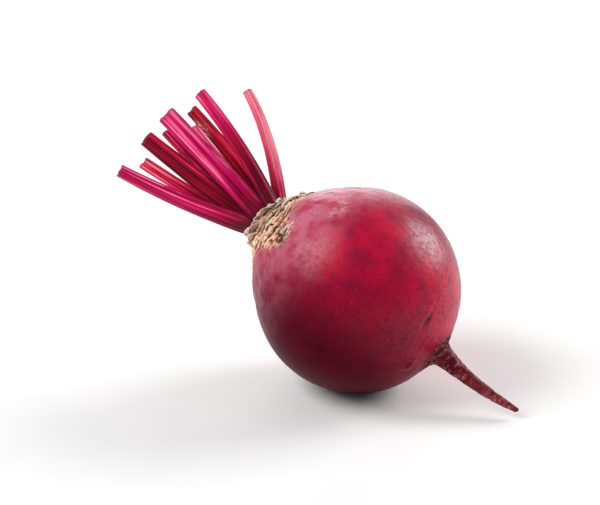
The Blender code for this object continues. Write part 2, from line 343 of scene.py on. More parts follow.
def from_line(point, start, end):
    """How far a point is from a line, and how far along the line it lies, from 0 to 1."""
    along = (point - start).dot(end - start) / (end - start).length_squared
    part = min(max(along, 0), 1)
    return (point - start.lerp(end, part)).length, part


def cork_edge(around):
    """How far from the axis the corky zone reaches, which is furthest in its tongues."""
    tongues = sum(
        reach * bump(math.remainder(around - middle, 2 * math.pi), 0, spread)
        for middle, reach, spread in CORK_TONGUES)
    return CORK_RADIUS + tongues + 1.4 * rough(on_ring(around, 9, 0), 5, 2)


print("the corky zone reaches", round(cork_edge(-1.66), 1), "mm from the axis at its widest")

# %% [markdown]
# ## How high the relief is
# All the relief could be one long sum, but it is easier to change in parts, each for one stretch of the root:
# the shoulder and its cork, the single marks, and the lower end. Every height is in millimetres, and a depth
# is taken off. Low lumps that run over the whole globe are added at the end.

# %% How high each form is
LUMP_HEIGHT = 0.12
LOBE_HEIGHT = 0.32
FOLD_HEIGHT = 0.3
DENT_HEIGHT = 0.26
CORK_HEIGHT, LEDGE_HEIGHT = 0.3, 1.1
CREASE_DEPTH, CREASE_LIP, CREASE_REACH = 0.45, 0.16, 5
PIT_DEPTH, PIT_LIP, PIT_REACH = 0.9, 0.4, 6
SCAR_DEPTH, SCAR_LIP, SCAR_REACH = 1.0, 0.5, 6
PALE_SCAR_HEIGHT = 0.45
BELT_HEIGHT = 0.1
BARK_HEIGHT = 0.35
TAP_CRACK_DEPTH = 0.25
print("a ledge of the cork stands up to about", round(CORK_HEIGHT + LEDGE_HEIGHT, 1), "mm high")

# %% [markdown]
# ## The relief of one point
# The relief is a rule that takes one place on the smooth root and gives back a height and the marks. A rule
# for a single point is easy to try out, and works however fine the mesh is. Noise that is read on a ring, or
# with one of its directions squeezed, gives folds, ledges and belts that run the way a root grows.

# %% Relief and marks of one point
def crown_relief(point, around, cork):
    """Lobes, folds and dents of the shoulder, and the ringed ledges and cracks of its cork."""
    x, y, z = point
    lobes = math.sin(5 * around) + 0.6 * math.sin(3 * around + 0.2)
    height = LOBE_HEIGHT * smooth_ramp(z, -8, 24) * smooth_ramp(z, 41, 36) * lobes
    near_crown = smooth_ramp(z, 4, 28)
    if near_crown > 0:
        folds = rough(on_ring(around, 11, z / 9), 2.0, 2)
        height += FOLD_HEIGHT * near_crown * (1 - cork) * folds
        height += DENT_HEIGHT * near_crown * (1 - cork) * rough(point, 5.5, 2)
    ridge = 0.5
    if cork > 0:
        down = math.hypot(x, y) + GLOBE_RADIUS - z
        ledges = rough(on_ring(around, 4, down * 1.1), 1.7, 3)
        cracks = abs(rough(on_ring(around, 6, down * 1.2 + 40), 2.2, 2))
        gap = bump(cracks, 0, 0.13)
        # a low ridge in the cracks and between the ledges is painted dark later, as painted shade
        ridge = 0.5 + 0.6 * ledges - 0.5 * gap
        height += cork ** 1.4 * (CORK_HEIGHT + LEDGE_HEIGHT * ledges - gap + 0.3 * rough(point, 1.2, 2))
    return height, ridge


def mark_relief(point):
    """The crease, the ringed pit, the leaf scar and the pale scars, and how they mark the skin."""
    height, dark, pale, lip = 0.0, 0.0, 0.0, 0.0
    crease, share = from_line(point, *CREASE)
    if crease < CREASE_REACH:
        ends = bump(share, 0.5, 0.6)
        groove = bump(crease + 0.7 * rough(point, 1.4, 2), 0, 0.7) * ends
        height += CREASE_LIP * bump(crease, 1.8, 0.8) * ends - CREASE_DEPTH * groove
        dark = max(dark, bump(crease + 0.9 * rough(point, 1.2, 2), 0, 1.3) * ends)
    pit = (point - PIT).length
    if pit < PIT_REACH:
        pit += 0.3 * rough(point, 1.5)
        hollow = bump(pit, 0, 1.3)
        height += PIT_LIP * bump(pit, 2.3, 0.8) - PIT_DEPTH * hollow
        dark = max(dark, 0.9 * hollow)
    scar, share = from_line(point, *LEAF_SCAR)
    if scar < SCAR_REACH:
        hollow = bump(scar + 0.5 * rough(point, 1.6), 0, 1.25 - 0.55 * share)
        height += SCAR_LIP * bump(scar, 2.2, 0.7) - SCAR_DEPTH * hollow
        dark = max(dark, bump(scar + 0.5 * rough(point, 1.2, 2), 0, 1.7))
        lip = bump(scar + 0.6 * rough(point, 1.1, 2), 1.5, 0.5) * smooth_ramp(share, 0.6, 0.2)
    for place, size in PALE_SCARS:
        away = (point - place).length
        if away < 3 * size:
            spot = bump(away + 0.8 * rough(point, 1.8, 2), 0, size)
            pale = max(pale, spot)
            height += PALE_SCAR_HEIGHT * spot * rough(point, 1.5, 2)
    return height, {"dark": dark, "pale": pale, "lip": lip}


def crack_across(point, width):
    """How strong the crack across the tap root is at a point, from 0 to 1."""
    return bump(point.z + 0.8 * rough(point, 2.0, 2), TAP_CRACK, width)


def root_relief(point, radius, bark, tap_root):
    """Faint belts round the lower globe, cracked bark at the tap root's foot, and the tap root's wrinkles."""
    x, y, z = point
    height = 0.0
    if z < -22:
        belt = smooth_ramp(z, -24, -34) * smooth_ramp(radius, 3, 9)
        height += BELT_HEIGHT * belt * rough((x * 0.35, y * 0.35, z * 1.6), 1.4, 2)
        height += bark * BARK_HEIGHT * rough((x, y, z * 1.5), 1.5, 3)
    if tap_root > 0:
        height -= TAP_CRACK_DEPTH * crack_across(point, 0.4)
        rings = rough((x * 0.4, y * 0.4, z * 1.3), 1.0, 3)
        height += tap_root * min(radius / 2.5, 1) * (0.1 * rings + 0.2 * rough(point, 2.8, 2))
    return height


def skin_relief(point):
    """The height of the skin in millimetres at a point, and the marks that colour it there."""
    z = point.z
    radius = math.hypot(point.x, point.y)
    around = math.atan2(point.y, point.x)
    cork, bark = 0.0, 0.0
    if z > 12:
        edge = cork_edge(around)
        cork = 1 - smooth_ramp(radius + 1.2 * rough(point, 2.6, 2), edge - 4.5, edge + 4.5)
        cork *= smooth_ramp(z, 12, 20)
    if z < -30:
        bark = bump(z + 1.1 * rough(point, 2.4, 2), -40.6, 1.7) * smooth_ramp(radius, 12, 6.5)
    tap_root = smooth_ramp(z, -38.2, -41.5)
    marked, marks = mark_relief(point)
    raised, ridge = crown_relief(point, around, cork)
    height = LUMP_HEIGHT * (1 - cork) * rough(point, 16, 2) + marked + raised
    height += root_relief(point, radius, bark, tap_root)
    crack = crack_across(point, 0.55) * smooth_ramp(rough(point, 3.0), -0.1, 0.3)
    # the shoulder band is coloured partly as dry dusty skin and partly as a painted highlight
    marks.update({
        "dark": max(marks["dark"], crack), "cork": cork, "ridge": ridge, "bark": bark, "tap_root": tap_root,
        "tip": smooth_ramp(z, -55, -66) * smooth_ramp(z, -76.5, -74), "bloom": smooth_ramp(z, 4, 27)})
    return height, marks


crease_middle = CREASE[0].lerp(CREASE[1], 0.5)
print("at the crease's middle the relief is", round(skin_relief(crease_middle)[0], 2), "mm high")

# %% [markdown]
# ## Raising the relief
# A Displace modifier could push the points out, but it would not keep the marks. So each point is pushed
# along its own normal here, and its marks are written down with it. Under the crown nothing is seen, so the
# relief fades away there. The tap root is then bowed as the solid's is. Points that would sink into the table
# are held at its level, which gives the same small flat spot as the solid's.

# %% Shaping the skin
UNDER_CROWN = (12.5, 14.5)
BOW_MIDDLE = -58
BOW_CURVE = 4.4
BOW_SLOPE = -0.027
BOW_START, BOW_FULL = -36, -43


def bowed(point):
    """The tap root bows a little, by the solid's own rule, which is in metres."""
    along = (point.z - BOW_MIDDLE) / 1000
    bow = BOW_CURVE * along * along + BOW_SLOPE * along
    point.x += 1000 * bow * smooth_ramp(point.z, BOW_START, BOW_FULL)
    return point


def shape_skin(shape):
    """Raises the relief, keeps the marks, bows the tap root and flattens the spot that the root rests on."""
    shape.normal_update()
    layers = {name: shape.verts.layers.float.new(name) for name in skin_relief(PIT)[1]}
    outward = [vertex.normal.copy() for vertex in shape.verts]
    for vertex, normal in zip(shape.verts, outward):
        height, marks = skin_relief(vertex.co.copy())
        shown = smooth_ramp(math.hypot(vertex.co.x, vertex.co.y), *UNDER_CROWN) if vertex.co.z > 35 else 1
        for name, layer in layers.items():
            vertex[layer] = marks[name]
        vertex.co = bowed(vertex.co + normal * height * shown)
    up = (LAID_DOWN.inverted().to_3x3() @ Vector((0, 0, 1))).normalized()
    rested = 0
    for vertex in shape.verts:
        below = -REST_HEIGHT - vertex.co.dot(up)
        if below > 0:
            vertex.co += up * below
            rested += 1
    return rested


print(shape_skin(skin_shape), "points of the skin rest on the table")

# %% [markdown]
# ## The colour of the skin
# Beetroot skin is a deep crimson that turns to dusty mauve near the crown, partly its dry dusty skin and partly
# a painted highlight. One side is painted darkest as painted shade, and the opposite side is painted a duller
# greyish red as a painted sheen.
# The colour is broken up by soft clouds, by short streaks along the growth lines, and by tiny corky pores.
# The corky zone, the bark at the tap root's foot, the tap root with its worn tip, and the scars have colours
# of their own, which follow the marks that were kept on the points, and the cork is darkened in its low gaps
# and cracks as painted shade. A painted picture could give all this, but sums of noise stay sharp from close
# by. The skin's own shine is weak, so a thin coat carries the wide soft highlights. It is missing from dry and
# corky places and from the side painted in shade, and is worn off in fine patches elsewhere.

# %% The skin's finish
# painted shade: the skin is painted darker towards this direction, given in the grown root's own axes
SHADED_SIDE = (-0.99, -0.09, -0.05)


def skin_finish():
    """The whole skin, from the crown's cork down to the tap root's tip, in one material."""
    skin = Finish(
        "root_skin", Metallic=0.0, Specular_IOR_Level=0.04, Specular_Tint=(1.0, 0.45, 0.85),
        Coat_Roughness=0.34)
    clouds = skin.noise(12, 4, 0.6)
    fine = skin.noise(1.5, 4, 0.65, (1, 1, 0.6))
    sockets = {0: skin.place(), 1: SHADED_SIDE}
    # how far a point lies towards the side that is painted in shade
    deep = skin.node("ShaderNodeVectorMath", {"operation": "DOT_PRODUCT"}, sockets, output=1)
    # painted shade: darker towards one side, with cloudy edges; the coat is taken off there too
    painted_shade = (deep + clouds * 16 - 8).between(-10, 31)
    # painted sheen: the side opposite the painted shade is turned a dull greyish mauve, a stand-in for a
    # grazing sheen
    painted_sheen = 1 - (deep + clouds * 12 - 6).between(-36, -16)
    colour = skin_colours(skin, clouds, fine, painted_shade, painted_sheen)
    colour = root_colours(skin, colour, fine)
    colour = cork_colours(skin, colour)
    dark = (skin.attribute("dark") + fine * 0.5 - 0.25).between(0.35, 0.8)
    colour = skin.mixed(dark * 0.85, colour, (0.055, 0.018, 0.02))
    lip = (skin.attribute("lip") + fine * 0.8 - 0.4).between(0.35, 0.7)
    colour = skin.mixed(lip * 0.7, colour, (0.66, 0.56, 0.52))
    skin.set("Base Color", colour)
    cork = skin.attribute("cork")
    dry = (1 - cork) * (1 - skin.attribute("bark")) * (1 - skin.attribute("tap_root") * 0.65)
    skin.set("Coat Weight", (0.22 + 0.42 * fine.between(0.34, 0.62)) * (1 - painted_shade) * dry)
    skin.set("Roughness", 0.36 + 0.1 * clouds - 0.05 * fine + 0.35 * (1 - dry))
    grain = skin.noise(0.7, 3, 0.6) * 0.5 + fine * 0.7 + cork * skin.noise(0.9, 4, 0.7) * 2.0
    skin.raise_by(grain, 0.00022)
    return skin.material


def skin_colours(skin, clouds, fine, painted_shade, painted_sheen):
    """Crimson with clouds and streaks, painted shade on one side, a painted dull sheen on the other, and mauve
    at the crown that is partly dry dusty skin and partly painted highlight.
    """
    colour = skin.mixed(clouds.between(0.3, 0.7), (0.34, 0.0012, 0.034), (0.62, 0.0015, 0.038))
    blotches = skin.noise(9, 6, 0.7, (1.2, 1.2, 0.8)).between(0.49, 0.62)
    colour = skin.mixed(blotches * 0.5, colour, (0.18, 0.002, 0.04))
    colour = skin.mixed(fine.between(0.46, 0.66) * 0.3, colour, (0.24, 0.001, 0.022))
    streaks = skin.noise(2.2, 3, 0.6, (1, 1, 0.16)).between(0.54, 0.76)
    colour = skin.mixed(streaks * 0.2, colour, (0.66, 0.02, 0.07))
    # painted shade: the shaded side is mixed almost to black
    colour = skin.mixed(painted_shade * 0.9, colour, (0.035, 0.001, 0.005))
    # painted sheen: a dull greyish mauve on the side opposite the painted shade
    colour = skin.mixed(painted_sheen * 0.65, colour, (0.18, 0.03, 0.058))
    # partly dry dusty skin and partly painted highlight: mauve and pale pink on the shoulder, fading on the
    # painted shade
    bloom = skin.attribute("bloom") * (1 - painted_shade * 0.7)
    colour = skin.mixed(bloom * 0.5, colour, (0.46, 0.06, 0.13))
    dust_and_highlight = skin.noise(6.5, 4, 0.6).between(0.36, 0.62)
    colour = skin.mixed(bloom * dust_and_highlight * 0.6, colour, (0.58, 0.20, 0.28))
    colour = skin.mixed(bloom * fine.between(0.48, 0.64) * 0.4, colour, (0.30, 0.04, 0.10))
    pores = (1 - skin.cells(2.6).between(0.05, 0.17)) * 0.3
    colour = skin.mixed(pores * skin.noise(5, 2).between(0.5, 0.65), colour, (0.42, 0.16, 0.13))
    return skin.mixed(skin.attribute("pale") * fine.between(0.35, 0.6) * 0.8, colour, (0.72, 0.34, 0.34))


def root_colours(skin, colour, fine):
    """The brown-red tap root with flecks and lines across it, its worn tip, and the bark at its foot."""
    tap_root = skin.attribute("tap_root")
    brown = skin.mixed(skin.noise(4, 3).between(0.35, 0.65), (0.07, 0.003, 0.010), (0.19, 0.012, 0.028))
    colour = skin.mixed(tap_root * 0.9, colour, brown)
    patches = skin.noise(2.2, 4, 0.65).between(0.5, 0.62)
    colour = skin.mixed(patches * tap_root * 0.6, colour, (0.15, 0.045, 0.035))
    worn = skin.noise(2.6, 4, 0.65, (0.8, 0.8, 1.0)).between(0.4, 0.6)
    colour = skin.mixed(worn * skin.attribute("tip") * 0.6, colour, (0.38, 0.08, 0.075))
    flecks = skin.noise(2.0, 5, 0.75, (0.6, 0.6, 1.5)).between(0.57, 0.62)
    colour = skin.mixed(flecks * tap_root * 0.75, colour, (0.50, 0.20, 0.15))
    lines = skin.noise(1.3, 3, 0.6, (0.5, 0.5, 1.5)).between(0.6, 0.68)
    colour = skin.mixed(lines * tap_root * 0.8, colour, (0.045, 0.004, 0.006))
    bark = skin.attribute("bark")
    crust = skin.mixed(fine.between(0.44, 0.66), (0.05, 0.008, 0.01), (0.30, 0.12, 0.09))
    return skin.mixed(bark.between(0.2, 0.75) * 0.85, colour, crust)


def cork_colours(skin, colour):
    """Tan and cream cork, darkened in its low gaps and cracks as painted shade; it thins out over rosy skin
    before the crimson takes over.
    """
    cork = skin.attribute("cork")
    colour = skin.mixed(cork.between(0.0, 0.5) * 0.75, colour, (0.50, 0.19, 0.17))
    broken = (cork + skin.noise(2.6, 6, 0.75) * 2.6 - 1.3).between(0.3, 0.65) * cork.between(0.03, 0.25)
    # painted shade and the cork's own tones: near black where the cork lies low in its gaps and cracks, tan and
    # cream on its ledges
    level = skin.attribute("ridge") + skin.noise(1.5, 4, 0.65, (1, 1, 2)) * 1.2 - 0.66
    stops = [
        (0.0, (0.05, 0.018, 0.012)), (0.2, (0.20, 0.08, 0.05)), (0.36, (0.60, 0.26, 0.17)),
        (0.52, (0.80, 0.55, 0.35)), (0.75, (0.90, 0.72, 0.52)),
    ]
    tan = skin.node("ShaderNodeValToRGB", {"stops": stops}, {0: level})
    colour = skin.mixed(broken * 0.94, colour, tan)
    lines = skin.noise(1.1, 4, 0.65, (0.4, 0.4, 1.6)).between(0.57, 0.63)
    return skin.mixed(lines * cork.between(0.15, 0.6) * 0.8, colour, (0.14, 0.05, 0.035))


finished_piece(skin_shape, "beet_skin", skin_finish(), "swollen_root")

# %% [markdown]
# ## The core of the crown
# The crown is the old stem: a low corky knob in which the stalks stand. Its flank steps down in rings, one
# for each round of leaves that died. It could be carved from a cylinder, but it is spun from a profile as the
# root is, and then roughened, because its rings are what the eye sees first.

# %% The crown's core
CROWN_TILT = 0.2
TILT_FROM, TILT_FULL = 41.7, 46
CORE_STEPS = 200
CORE_RING_GAP = 0.3
CORE_LINE = [
    (3.0, 44.3), (6.5, 44.2), (8.6, 44.6), (9.2, 45.9), (9.9, 46.3), (10.5, 45.7), (10.4, 44.9), (11.2, 44.3),
    (11.2, 43.4), (12.1, 42.8), (12.2, 42.0), (13.0, 41.5), (13.7, 40.9), (14.6, 40.2), (14.2, 39.2),
    (12.6, 38.8), (6.0, 38.6),
]


def tilted(point):
    """The top of the crown slopes down to one side."""
    point.z -= CROWN_TILT * point.x * smooth_ramp(point.z, TILT_FROM, TILT_FULL)
    return point


def crown_marks(shape):
    """The two numbers that each point of the crown keeps: its tone, and how far up its leaf base it lies."""
    return [shape.verts.layers.float.new(name) for name in ("tone", "rise")]


def crown_core():
    """The knob itself, roughened in rings."""
    shape = spun(curve_through(CORE_LINE, CORE_RING_GAP), CORE_STEPS)
    shape.normal_update()
    tones, rises = crown_marks(shape)
    pushes = [vertex.normal.copy() for vertex in shape.verts]
    for vertex, push in zip(shape.verts, pushes):
        x, y, z = vertex.co
        rings = rough(on_ring(math.atan2(y, x), 5, z * 1.9), 1.6, 3)
        height = 0.5 * rings + 0.35 * rough(vertex.co, 1.1, 2)
        vertex[tones] = 0.5 + 0.5 * rough(vertex.co, 3.5, 2)
        # a low rise is painted dark in the crown's finish, as painted shadow in the ring valleys
        vertex[rises] = min(max(0.14 + 0.5 * rings, 0), 1)
        vertex.co = tilted(vertex.co + push * height)
    return shape


crown_shape = crown_core()
print("the core has", len(crown_shape.faces), "faces")

# %% [markdown]
# ## Dried leaf bases
# Round the core lie the feet of the old leaves. Each is a long thin crescent that wraps part of the way
# round, thick at its foot and torn at its free edge, and the row outside it stands off with a dark gap. Bumps
# in the material could hint at them, but their edges break the crown's outline, so they are real. Each starts
# as a flat grid, which is extruded so that it has two sides, and is then bent round the crown. They are
# joined to the core's shape, so that crown and crescents are one piece. Their places come from seeded chance,
# the same on each run.

# %% The leaf bases
COLLARS = [
    {"count": 4, "foot": (9.7, 43.4), "edge": (10.4, 47.0), "width": 15, "tone": 0.95},
    {"count": 5, "foot": (10.8, 42.6), "edge": (11.2, 45.8), "width": 12, "tone": 0.28},
    {"count": 5, "foot": (12.0, 41.8), "edge": (12.3, 44.7), "width": 13, "tone": 0.3},
    {"count": 6, "foot": (13.3, 40.8), "edge": (13.5, 43.5), "width": 13, "tone": 0.7},
    {"count": 6, "foot": (14.7, 39.7), "edge": (14.8, 42.3), "width": 14, "tone": 0.36},
    {"count": 6, "foot": (16.2, 38.5), "edge": (16.2, 40.9), "width": 13, "tone": 0.62},
    {"count": 6, "foot": (17.8, 37.2), "edge": (17.7, 39.3), "width": 12, "tone": 0.5},
    {"count": 6, "foot": (19.5, 35.9), "edge": (19.2, 37.5), "width": 11, "tone": 0.6},
    {"count": 4, "foot": (21.3, 34.5), "edge": (20.9, 35.7), "width": 9, "tone": 0.55},
]
THICK_FOOT = 0.9
THIN_EDGE = 0.38
BLADE_GRID = {"x_segments": 56, "y_segments": 8}
scatter = random.Random(29)


def leaf_base(shape, around, collar):
    """One dried leaf base, bent round the crown and torn at its free edge."""
    foot, edge = Vector(collar["foot"]), Vector(collar["edge"])
    width = collar["width"] * scatter.uniform(0.6, 1.15)
    climb = (edge - foot) * scatter.uniform(0.7, 1.15)
    foot.x += scatter.uniform(-0.3, 0.3)
    lean = scatter.uniform(-0.9, 0.9)
    curl = scatter.uniform(-0.1, 0.8)
    tone = collar["tone"] + scatter.uniform(-0.4, 0.4)
    seed = scatter.uniform(0, 100)
    blade = bmesh.new()
    tones, rises = crown_marks(blade)
    bmesh.ops.create_grid(blade, size=1, **BLADE_GRID)
    inner = bmesh.ops.extrude_face_region(blade, geom=list(blade.faces))["geom"]
    moved = [item for item in inner if isinstance(item, bmesh.types.BMVert)]
    bmesh.ops.translate(blade, vec=(0, 0, 1), verts=moved)
    for vertex in blade.verts:
        side, rise, outer = vertex.co.x, (vertex.co.y + 1) / 2, 1 - vertex.co.z
        along = side * width / 2
        tear = 0.6 * noise.noise(Vector((along / 3.4, seed, 0)))
        tear += 0.22 * noise.noise(Vector((along / 1.3, seed, 4)))
        ends = max(1 - abs(side) ** 2.6, 0) ** 0.7
        reach = rise * (0.2 + 0.8 * ends) * (1 + 0.75 * tear * rise)
        thick = (THICK_FOOT + (THIN_EDGE - THICK_FOOT) * rise) * (0.4 + 0.6 * ends)
        out = foot.x + climb.x * reach + curl * rise * rise * ends - 0.9 * (1 - ends) + thick * (outer - 0.5)
        out += 0.35 * rough((along / 2.5, rise * 1.2, seed), 1.0, 2)
        out += 0.12 * rough((along, rise * 3, seed), 1.0)
        up = foot.y + climb.y * reach + lean * side
        angle = around + along / foot.x
        vertex[tones] = tone + 0.5 * noise.noise(Vector((along / 3, rise, seed + 12)))
        # the low part of each blade is painted dark in the crown's finish, as painted shadow under the row in
        # front
        vertex[rises] = 0.12 + 0.88 * rise
        vertex.co = tilted(Vector(on_ring(angle, out, up)))
    join_to(shape, blade)


def join_to(shape, other):
    """Adds another shape to a shape, with the numbers kept on its points."""
    bmesh.ops.recalc_face_normals(other, faces=other.faces)
    carrier = bpy.data.meshes.new("carrier")
    other.to_mesh(carrier)
    other.free()
    shape.from_mesh(carrier)
    bpy.data.meshes.remove(carrier)


for collar in COLLARS:
    for number in range(collar["count"]):
        around = 2 * math.pi * (number + scatter.uniform(-0.4, 0.4)) / collar["count"]
        leaf_base(crown_shape, around, collar)
print("with its leaf bases the crown has", len(crown_shape.faces), "faces")

# %% [markdown]
# ## Stubs of lost stalks
# Here and there a stalk broke off short and left a pale blunt stub. A plain cylinder would look sawn off. So
# each stub is a cone whose top is inset and sunk a little, because the soft middle dries in first, and its
# walls are cut into rings that can wander.

# %% The stubs
STUBS = [(7.6, -5.9, 1.8, 47.0), (7.4, -2.9, 1.7, 46.0), (5.6, 6.9, 1.6, 47.2), (-7.9, 1.4, 1.5, 47.6)]
STUB_DEPTH = 4.4


def stub(x, y, radius, top):
    """A short stub at a place in the crown, of a radius, whose top is at a height."""
    shape = bmesh.new()
    tones, rises = crown_marks(shape)
    bmesh.ops.create_cone(
        shape, cap_ends=True, segments=28, radius1=radius * 1.15, radius2=radius * 0.85, depth=STUB_DEPTH,
        matrix=Matrix.Translation((x, y, top - STUB_DEPTH / 2 - CROWN_TILT * x)))
    walls = [edge for edge in shape.edges if abs(edge.verts[0].co.z - edge.verts[1].co.z) > 1]
    bmesh.ops.subdivide_edges(shape, edges=walls, cuts=7)
    cap = max(shape.faces, key=lambda face: face.calc_center_median().z)
    bmesh.ops.inset_region(shape, faces=[cap], thickness=radius * 0.3)
    bmesh.ops.inset_region(shape, faces=[cap], thickness=radius * 0.2, depth=-0.45)
    for vertex in shape.verts:
        vertex[tones] = 0.8
        # the stub's foot gets a low rise, which the crown's finish paints as shadow
        vertex[rises] = smooth_ramp(vertex.co.z, top - 4.5, top - 1.5)
        lump = Vector((rough(vertex.co, 1.6, 2), rough(vertex.co + Vector((9, 0, 0)), 1.6, 2), 0))
        vertex.co += 0.3 * lump
    return shape


for place in STUBS:
    join_to(crown_shape, stub(*place))
print("the crown has", len(STUBS), "stubs")

# %% [markdown]
# ## The colour of the crown
# Dry leaf bases run from cream through tan to an orange pink, and a few have gone brown. Their free edges are
# bleached, and their feet, where the next row stands in front, are painted near black as painted shadow. Each
# could have a material of its own, but each blade carries its own tone, and how far up it a point lies, so one
# colour ramp and one painted shadow serve them all.

# %% The crown's finish
def crown_finish():
    """Dry bark, from the tone and the rise that each point keeps."""
    bark = Finish("crown_bark", Metallic=0.0, Specular_IOR_Level=0.2)
    tone = bark.attribute("tone") + bark.noise(2.0, 3, 0.6, (1, 1, 1.6)) * 0.7 - 0.35
    stops = [
        (0.0, (0.17, 0.12, 0.08)), (0.2, (0.44, 0.28, 0.17)), (0.36, (0.66, 0.24, 0.15)),
        (0.5, (0.74, 0.42, 0.27)), (0.7, (0.80, 0.60, 0.38)), (1.0, (0.86, 0.66, 0.58)),
    ]
    colour = bark.node("ShaderNodeValToRGB", {"stops": stops}, {0: tone})
    fibres = bark.noise(0.8, 4, 0.65, (0.5, 0.5, 2.0))
    colour = bark.mixed(fibres.between(0.5, 0.64) * 0.65, colour, (0.26, 0.10, 0.06))
    stains = bark.noise(1.5, 4, 0.65).between(0.55, 0.64)
    colour = bark.mixed(stains * 0.85, colour, (0.10, 0.04, 0.028))
    rise = bark.attribute("rise")
    # painted shadow: points low on their rise are mixed towards near black
    depth = rise + bark.noise(1.6, 3, 0.6) * 0.3 - 0.15
    colour = bark.mixed(1 - depth.between(0.48, 0.8), colour, (0.04, 0.014, 0.01))
    colour = bark.mixed(rise.between(0.86, 1.0) * 0.6, colour, (0.90, 0.74, 0.62))
    bark.set("Base Color", colour)
    bark.set("Roughness", 0.75 + 0.2 * fibres)
    bark.raise_by(fibres + bark.noise(0.5, 3, 0.6) * 0.6, 0.0003)
    return bark.material


finished_piece(crown_shape, "beet_crown", crown_finish(), "crown")

# %% [markdown]
# ## The paths of the leaf stalks
# Nine stalks stand in the crown, each cut off square. They bend a little, and each is wider than it is thick.
# A curve with a bevel could draw them, but its section could not change along the way. So each is given by
# numbers, which are the solids' own: where a stalk stands, where it ends, how far its middle bows, how wide
# its foot and its cut end are, how thick it is, and which way its rounded back looks.

# %% Stalk numbers and path
STALK_NUMBERS = ("foot", "tip", "bow", "wide", "thick", "back")
STALKS = [dict(zip(STALK_NUMBERS, row)) for row in (
    ((-5.1, -5.2), (-21.7, -10.0, 102.5), (-1.3, 2.3), (8.1, 5.7), 3.5, -127),
    ((-5.7, 4.3), (-13.7, 7.2, 103.2), (-0.7, -0.1), (5.3, 5.3), 3.4, 111),
    ((-3.9, 0.9), (-5.3, -3.2, 104.8), (-0.5, -0.1), (8.1, 6.5), 3.4, -90),
    ((-2.8, 6.9), (2.3, 13.4, 106.1), (-1.1, -0.1), (5.4, 5.2), 3.4, 102),
    ((-1.6, -2.5), (6.9, -11.6, 101.3), (0.4, -0.4), (7.5, 7.5), 3.6, -94),
    ((0.4, 1.8), (9.8, 3.9, 94.8), (-0.6, 0.0), (4.4, 3.6), 2.9, 83),
    ((1.2, 5.6), (15.1, 8.7, 101.6), (1.4, 0.2), (6.3, 5.1), 3.3, 76),
    ((2.8, -3.7), (21.9, -8.0, 97.2), (2.0, -1.0), (5.7, 5.1), 3.5, -82),
    ((3.4, 0.2), (34.8, 5.9, 87.2), (3.3, 1.3), (5.6, 3.8), 3.3, -71),
)]
CROWN_FLOOR = 44.6
SOCKET_DEPTH = 2.4


def stalk_path(stalk, part):
    """The middle line's point and direction, from the foot at 0 to the cut end at 1."""
    x, y = stalk["foot"]
    foot = Vector((x, y, CROWN_FLOOR - CROWN_TILT * x - SOCKET_DEPTH))
    tip = Vector(stalk["tip"])
    bend = (foot + tip) / 2 + Vector((*stalk["bow"], 0)) * 2
    point = foot.lerp(bend, part).lerp(bend.lerp(tip, part), part)
    return point, (bend - foot).lerp(tip - bend, part).normalized()


print("the longest stalk ends", max(stalk["tip"][2] for stalk in STALKS), "mm up the axis")

# %% [markdown]
# ## Modelling a stalk
# A leaf stalk is ribbed on its back and hollowed into a channel on its inner side. A cylinder is cut into
# rings, and each ring is bent to that section and moved along the path. Its top is inset four times, so that
# the cut end can be torn a little and show a firm rim round softer pith. Each point keeps what the colours
# need: how far along it lies, the ribs and bands, the pith, and the stalk's own tone and warmth.

# %% The section and the stalk
STALK_SIDES = 72
STALK_RINGS = 56
STALK_MARKS = ("along", "rib", "band", "pith", "tone", "warm", "scar", "shine")
STALK_LENGTH = 56
CUT_INSETS = (0.06, 0.1, 0.3, 0.25)
CUT_SINKS = 0.35
TONES = (0.33, 0.31, 0.06, 0.18, 0.54, 0.40, 0.19, 0.25, 0.82)
PALE_TIPS = (0.0, 0.18, 0.0, 0.1, 0.04, 0.2, 0.0, 0.42, 0.1)
WARMTHS = (0.2, 0.8, 0.7, 0.3, 0.15, 0.3, 1.0, 0.4, 0.75)
# the angle on each stalk of its painted highlight line
LINES = (1.0, 2.7, 0.9, 2.5, 1.0, 3.3, 3.7, 1.1, 0.3)
SCARRED = 6
SCAR_SIDE = 2.6
FOOT_NARROWS = 0.34
CHANNEL_DEPTH = 0.3


def stalk_section(stalk, angle, part, seed):
    """How far out and how far sideways the stalk's surface is, with ribs, edges and channel."""
    start, end = stalk["wide"]
    width = (start + (end - start) * part ** 1.5) * (1 - FOOT_NARROWS * smooth_ramp(part, 0.14, 0))
    ribs = 0.5 + 0.5 * math.cos(11 * angle + 0.5 * math.sin(3 * angle + seed))
    waver = 0.03 * noise.noise(Vector((2 * math.cos(angle), 2 * math.sin(angle) + seed, 4 * part)))
    reach = 0.965 + 0.05 * ribs + waver
    out = stalk["thick"] / 2 * math.cos(angle) * reach
    side = width / 2 * math.sin(angle) * reach
    if math.cos(angle) < 0:
        channel = math.exp(-((math.sin(angle) / 0.45) ** 2))
        out += CHANNEL_DEPTH * stalk["thick"] * channel * smooth_ramp(part, 0, 0.3)
    return out, side, ribs


